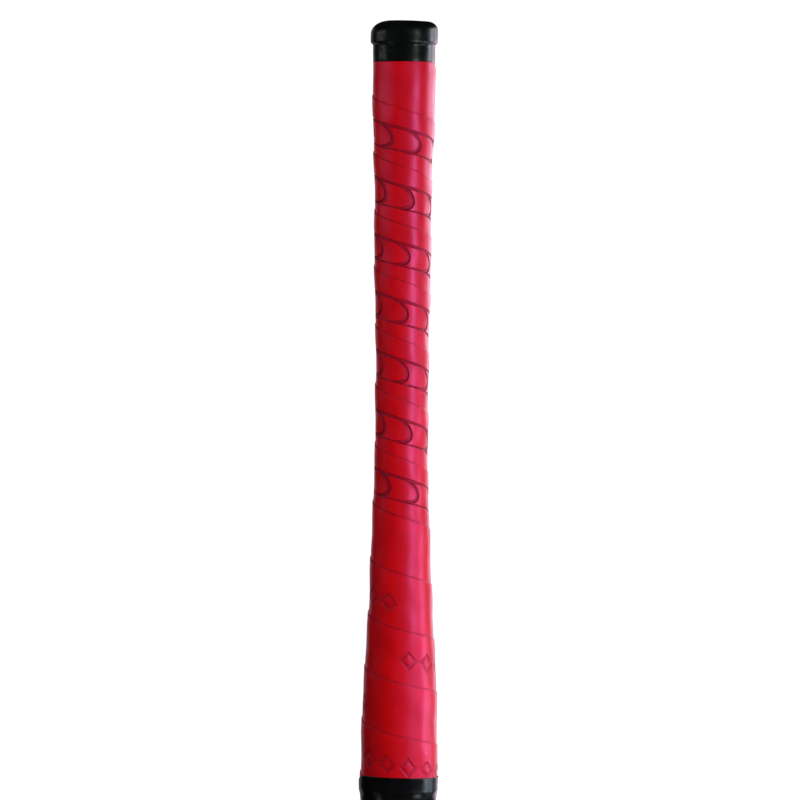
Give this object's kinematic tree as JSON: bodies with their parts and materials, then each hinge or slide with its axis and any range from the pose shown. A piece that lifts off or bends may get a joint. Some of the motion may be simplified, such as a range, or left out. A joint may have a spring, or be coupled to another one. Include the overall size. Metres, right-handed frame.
{
  "type": "swing trainer stick",
  "caption": "Bat-shaped weighted swing trainer stick with a red spiral-wrapped grip, rubber butt cap, tapered black barrel and rubber tip bumper.",
  "frame": {"origin": "centre of the flat underside of the tip bumper, on the stick's axis", "axes": "+Z along the stick from the tip to the butt cap, grip end up; +X and +Y across the stick"},
  "size_m": [0.0484, 0.0484, 0.864],
  "materials": {
    "cap_rubber": "glossy moulded",
    "nylon": "moulded",
    "foam_rubber": "matt",
    "foam": "open foam",
    "tube_alloy": "drawn",
    "barrel_paint": "black gloss coat",
    "underlay_tape": "adhesive tape",
    "grip_wrap": "tacky polyurethane",
    "finishing_tape": "glossy vinyl",
    "seal_rubber": "satin",
    "screw_steel": "black oxide",
    "zinc_steel": "zinc plated",
    "disc_steel": "turned"
  },
  "bodies": {
    "root": {"butt_cap": "cap_rubber", "tip_bumper": "cap_rubber", "butt_plug": "nylon", "end_plug": "nylon", "taper_collar": "foam_rubber", "foam_plug": "foam", "handle_tube": "tube_alloy", "barrel_tube": "barrel_paint", "grip_underlay": "underlay_tape", "grip_wrap": "grip_wrap", "finishing_tape": "finishing_tape", "isolation_sleeve": "seal_rubber", "end_seal": "seal_rubber", "plug_screws": "screw_steel", "weight_bolt": "zinc_steel", "flat_washers": "zinc_steel", "spring_washer": "zinc_steel", "stack_nut": "zinc_steel", "weight_disc_1": "disc_steel", "rattle_ring_1": "seal_rubber", "weight_disc_2": "disc_steel", "rattle_ring_2": "seal_rubber", "weight_disc_3": "disc_steel", "rattle_ring_3": "seal_rubber", "weight_disc_4": "disc_steel", "rattle_ring_4": "seal_rubber"}
  },
  "joints": []
}
